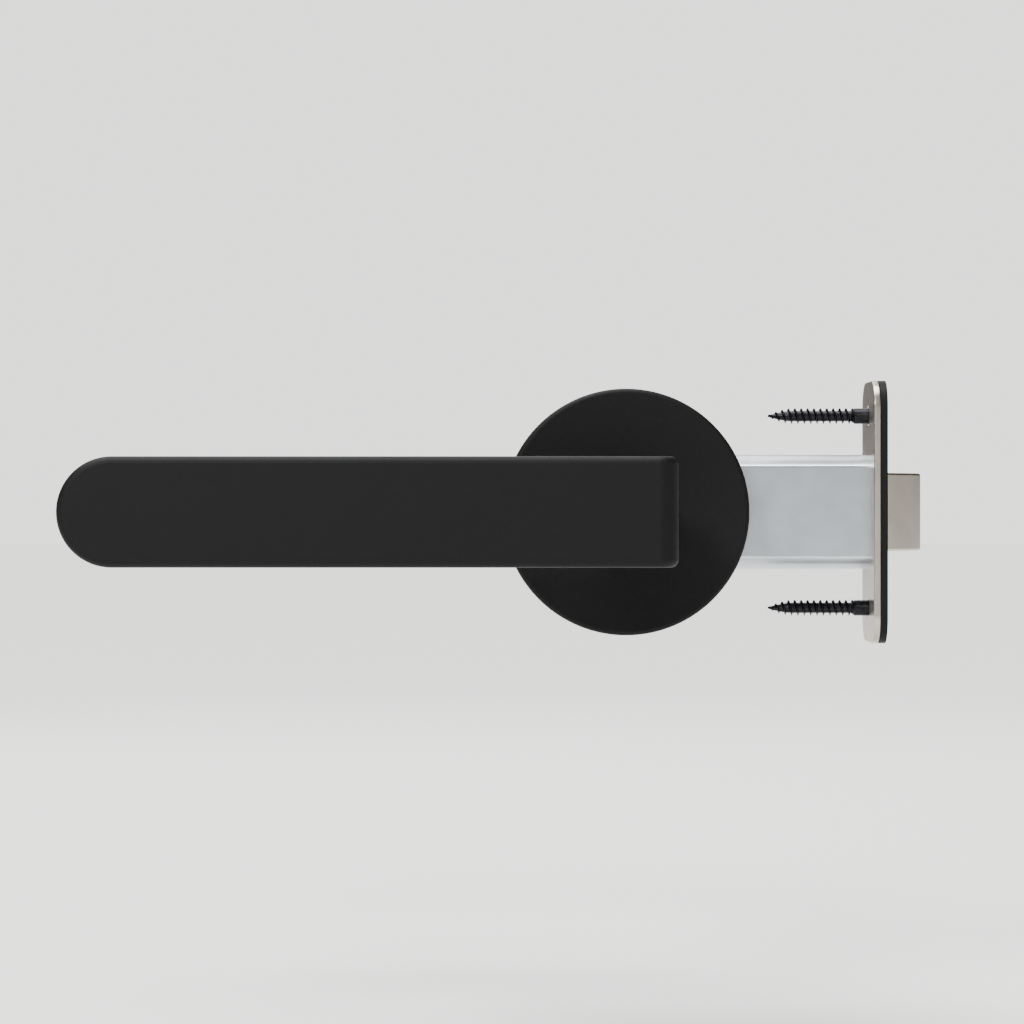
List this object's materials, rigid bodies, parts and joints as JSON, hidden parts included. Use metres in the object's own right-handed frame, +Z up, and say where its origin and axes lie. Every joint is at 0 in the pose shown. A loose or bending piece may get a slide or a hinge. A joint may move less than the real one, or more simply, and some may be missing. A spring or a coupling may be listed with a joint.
{
  "type": "lever handle lockset",
  "caption": "Passage set for a door: a straight lever on a round rose on each side, joined by a square spindle, with a sprung tubular latch.",
  "frame": {"origin": "on the spindle's axis, in the plane where the front rose sits on the door", "axes": "+X towards the door's edge and the faceplate, +Y through the door from the front rose to the rear rose, +Z up"},
  "size_m": [0.18, 0.152, 0.057],
  "materials": {
    "black_coat": "matt black powder coat, fine texture",
    "die_cast_zinc": "raw die-cast zinc, dull grey",
    "plated_steel": "bright zinc-plated steel",
    "spring_steel": "oiled spring steel wire and strip",
    "dark_steel": "blackened steel",
    "satin_nickel": "satin nickel plate",
    "black_nylon": "moulded black nylon"
  },
  "bodies": {
    "roses_and_latch": {"front_rose_cover": "black_coat", "front_rose_base": "die_cast_zinc", "front_neck_bush": "black_nylon", "front_return_spring": "spring_steel", "front_thrust_washer": "plated_steel", "rear_rose_cover": "black_coat", "rear_rose_base": "die_cast_zinc", "rear_neck_bush": "black_nylon", "rear_return_spring": "spring_steel", "rear_thrust_washer": "plated_steel", "sleeve_nuts": "plated_steel", "through_bolts": "plated_steel", "faceplate": "black_coat", "latch_forend": "satin_nickel", "faceplate_screws": "dark_steel", "latch_case_front_half": "plated_steel", "latch_case_rear_half": "plated_steel", "case_rivets": "plated_steel", "retractor_springs": "spring_steel"},
    "levers": {"front_lever": "black_coat", "front_spring_driver": "plated_steel", "front_circlip": "spring_steel", "front_grub_screw": "dark_steel", "rear_lever": "black_coat", "rear_spring_driver": "plated_steel", "rear_circlip": "spring_steel", "rear_grub_screw": "dark_steel", "spindle": "plated_steel", "follower": "die_cast_zinc"},
    "retractor": {"retractor": "plated_steel"},
    "bolt": {"latch_bolt": "satin_nickel", "bolt_tail": "plated_steel", "tail_pin": "spring_steel", "tail_nut": "plated_steel", "bolt_spring": "spring_steel"}
  },
  "joints": [
    {"name": "lever_turn", "type": "hinge", "parent": "roses_and_latch", "child": "levers", "pos_m": [0, 0, 0], "axis": [0, -1, 0], "range_deg": [0, 55], "stiffness_Nm_per_rad": 1, "springref_deg": -28.65, "deforming": ["front_return_spring", "rear_return_spring"]},
    {"name": "retractor_slide", "type": "slide", "parent": "roses_and_latch", "child": "retractor", "axis": [-1, 0, 0], "range_m": [0, 0.00877], "stiffness_N_per_m": 300, "springref_m": -0.01, "deforming": ["retractor_springs"]},
    {"name": "latch_bolt_push", "type": "slide", "parent": "retractor", "child": "bolt", "axis": [1, 0, 0], "range_m": [-0.00877, 0], "stiffness_N_per_m": 300, "springref_m": 0.01, "deforming": ["bolt_spring"]}
  ],
  "couplings": [
    {"joint": "retractor_slide", "follows": "lever_turn", "m_per_rad": 0.009139}
  ]
}
